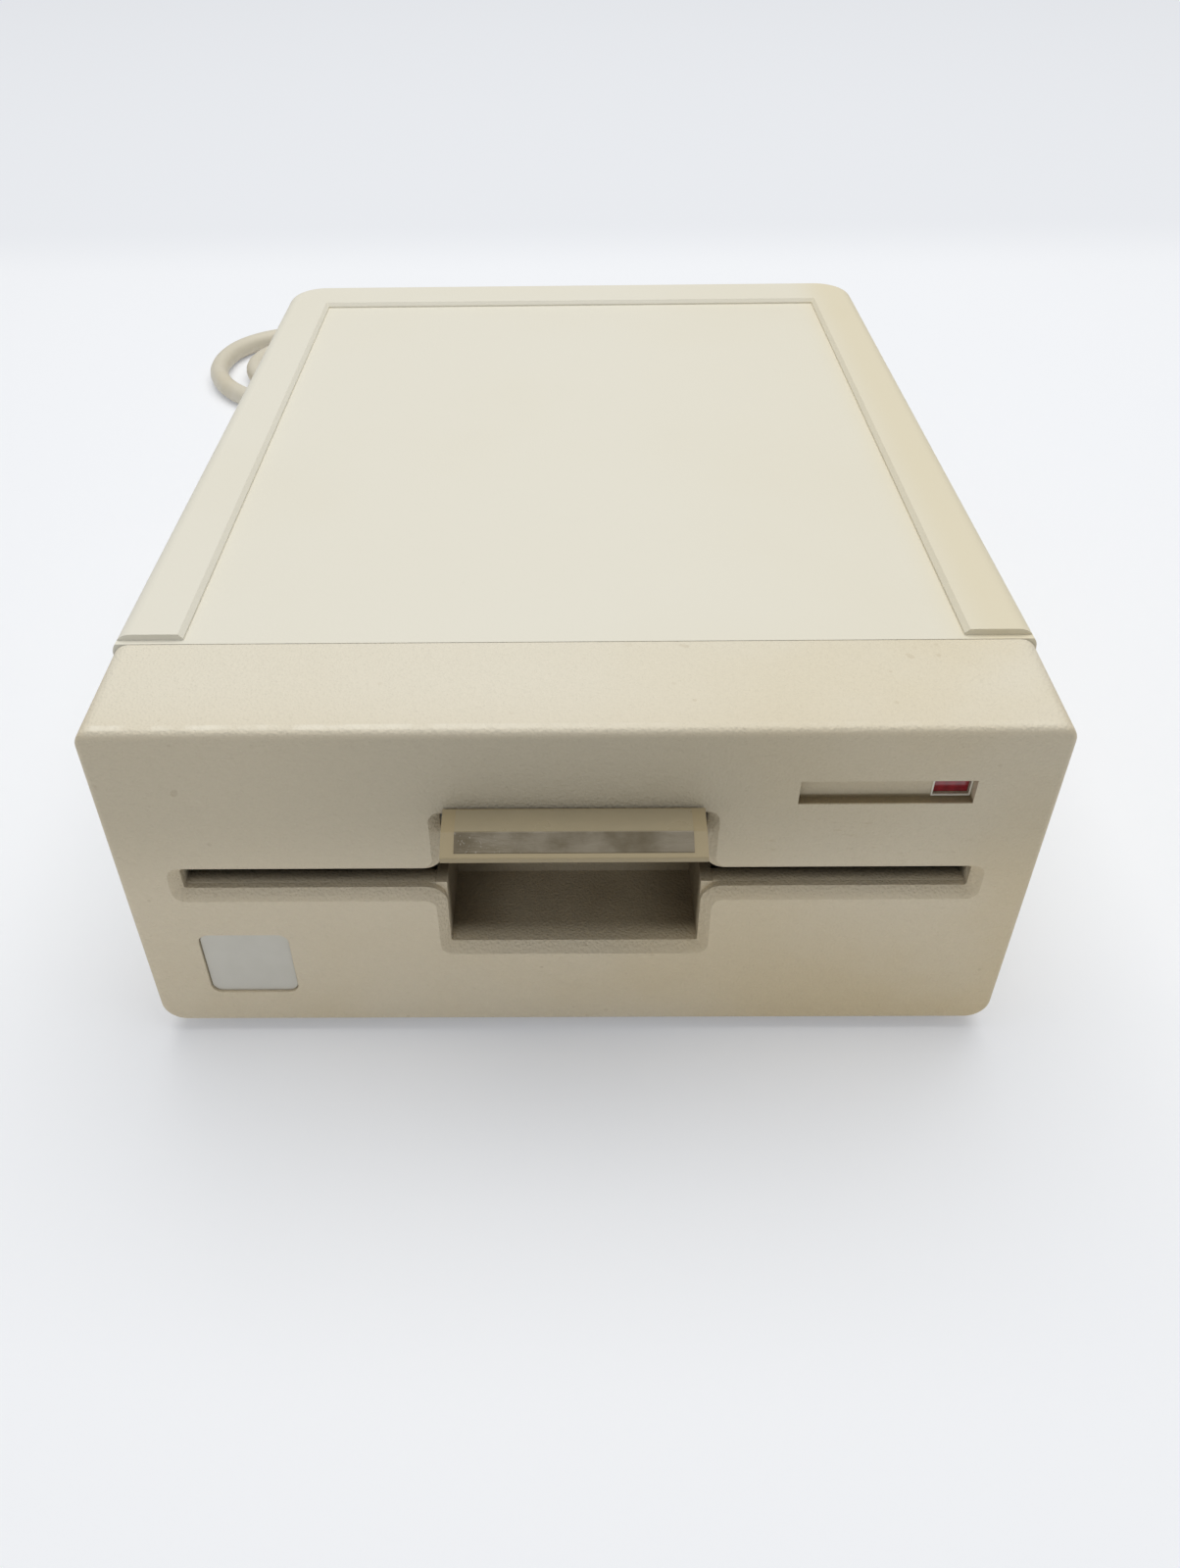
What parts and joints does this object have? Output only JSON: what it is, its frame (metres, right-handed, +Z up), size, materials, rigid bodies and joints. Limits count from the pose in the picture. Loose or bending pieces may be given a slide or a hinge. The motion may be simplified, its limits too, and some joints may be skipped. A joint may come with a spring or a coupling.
{
  "type": "external floppy disk drive",
  "caption": "Low beige desktop box with a wide disk slot, a flip lever over a finger well, a lamp window, a raised rim on top and a coiled cord with a D plug.",
  "frame": {"origin": "on the table plane, under the middle of the drive's bounding box with its lever raised, cord left out", "axes": "+X to the right seen from the front, +Y from the front face to the rear, +Z up"},
  "size_m": [0.2326, 0.4054, 0.0769],
  "materials": {
    "bezel_plastic": "fine-grained moulded beige plastic, slightly yellowed",
    "cover_plastic": "fine-grained moulded pale beige plastic",
    "lever_plastic": "smooth taupe plastic",
    "clear_film": "clear glossy film",
    "badge_grey": "satin light grey plate",
    "red_lens": "clear red plastic",
    "foot_rubber": "matte",
    "zinc_steel": "bright zinc plate",
    "ground_steel": "ground",
    "cast_alloy": "die-cast, matte",
    "dark_plastic": "matte moulded",
    "bronze": "sintered",
    "copper_wire": "enamelled winding",
    "circuit_board": "green solder mask",
    "ferrite": "polished ceramic",
    "felt": "pressed felt",
    "cord_vinyl": "smooth beige vinyl"
  },
  "bodies": {
    "case": {"front_bezel": "bezel_plastic", "badge_plate": "badge_grey", "indicator_lens": "red_lens", "indicator_lamp": "red_lens", "top_cover": "cover_plastic", "bottom_case": "cover_plastic", "rubber_feet": "foot_rubber", "case_screws": "zinc_steel", "bezel_screws": "zinc_steel", "chassis_screws": "zinc_steel", "rear_panel": "cover_plastic", "chain_socket": "zinc_steel", "socket_posts": "zinc_steel", "strain_relief": "cord_vinyl", "chassis": "cast_alloy", "lever_bracket": "zinc_steel", "bracket_screws": "zinc_steel", "lever_spring": "ground_steel", "arm_pins": "ground_steel", "disk_guide_left": "dark_plastic", "disk_guide_right": "dark_plastic", "spindle_bearings": "ground_steel", "stator_board": "circuit_board", "stator_coils": "copper_wire", "stepper_motor": "ground_steel", "screw_bush": "bronze", "guide_rods": "ground_steel", "protect_sensor": "dark_plastic", "logic_board": "circuit_board", "board_chips": "dark_plastic", "board_capacitors": "dark_plastic", "board_headers": "dark_plastic", "board_screws": "zinc_steel", "cord_lead": "cord_vinyl", "cord_coil": "cord_vinyl", "cord_tail": "cord_vinyl", "plug_hood": "cord_vinyl", "plug_shell": "zinc_steel"},
    "lever": {"front_lever": "lever_plastic", "lever_label": "clear_film", "lever_shaft": "ground_steel", "lever_cam": "dark_plastic", "latch_disc": "dark_plastic"},
    "latch": {"lever_latch": "dark_plastic"},
    "clamp_arm": {"clamp_arm": "dark_plastic"},
    "clamp_cone": {"clamp_cone": "dark_plastic", "clamp_ring": "dark_plastic", "cone_retainer": "zinc_steel"},
    "spindle": {"spindle_shaft": "ground_steel", "spindle_hub": "cast_alloy", "motor_rotor": "ground_steel"},
    "lead_screw": {"lead_screw": "ground_steel"},
    "carriage": {"head_carriage": "dark_plastic", "screw_follower": "dark_plastic", "read_head": "ferrite", "pad_pin": "ground_steel"},
    "pad_arm": {"pad_arm": "dark_plastic", "felt_pad": "felt"},
    "plug_screw_left": {"plug_screw_left": "zinc_steel"},
    "plug_screw_right": {"plug_screw_right": "zinc_steel"}
  },
  "joints": [
    {"name": "lever_turn", "type": "hinge", "parent": "case", "child": "lever", "pos_m": [0, -0.09175, 0.051], "axis": [1, 0, 0], "range_deg": [0, 84], "stiffness_Nm_per_rad": 0.02, "springref_deg": -34.38},
    {"name": "latch_turn", "type": "hinge", "parent": "case", "child": "latch", "pos_m": [-0.0307, -0.07975, 0.0535], "axis": [-1, 0, 0], "range_deg": [0, 10], "stiffness_Nm_per_rad": 0.004, "springref_deg": -17.19},
    {"name": "clamp_arm_turn", "type": "hinge", "parent": "case", "child": "clamp_arm", "pos_m": [0, -0.07375, 0.049], "axis": [-1, 0, 0], "range_deg": [0, 10]},
    {"name": "clamp_cone_spin", "type": "hinge", "parent": "clamp_arm", "child": "clamp_cone", "pos_m": [0, -0.02456, 0.05209], "axis": [0, -0.1736, 0.9848], "continuous": true},
    {"name": "spindle_turn", "type": "hinge", "parent": "case", "child": "spindle", "pos_m": [0, -0.02477, 0.0379], "axis": [0, 0, 1], "continuous": true},
    {"name": "lead_screw_turn", "type": "hinge", "parent": "case", "child": "lead_screw", "pos_m": [0, 0.08025, 0.03], "axis": [0, 1, 0], "range_deg": [0, 1224]},
    {"name": "carriage_slide", "type": "slide", "parent": "case", "child": "carriage", "axis": [0, -1, 0], "range_m": [0, 0.018]},
    {"name": "pad_arm_turn", "type": "hinge", "parent": "carriage", "child": "pad_arm", "pos_m": [0, 0.06623, 0.048], "axis": [1, 0, 0], "range_deg": [0, 6.5]},
    {"name": "plug_screw_left_turn", "type": "hinge", "parent": "case", "child": "plug_screw_left", "pos_m": [0.079, 0.2538, 0.007], "axis": [1, 0, 0], "continuous": true},
    {"name": "plug_screw_right_turn", "type": "hinge", "parent": "case", "child": "plug_screw_right", "pos_m": [0.079, 0.2927, 0.007], "axis": [1, 0, 0], "continuous": true}
  ],
  "couplings": [
    {"joint": "clamp_arm_turn", "follows": "lever_turn", "ratio": 0.11905},
    {"joint": "pad_arm_turn", "follows": "lever_turn", "ratio": 0.07738},
    {"joint": "carriage_slide", "follows": "lead_screw_turn", "m_per_rad": 0.00084258}
  ]
}
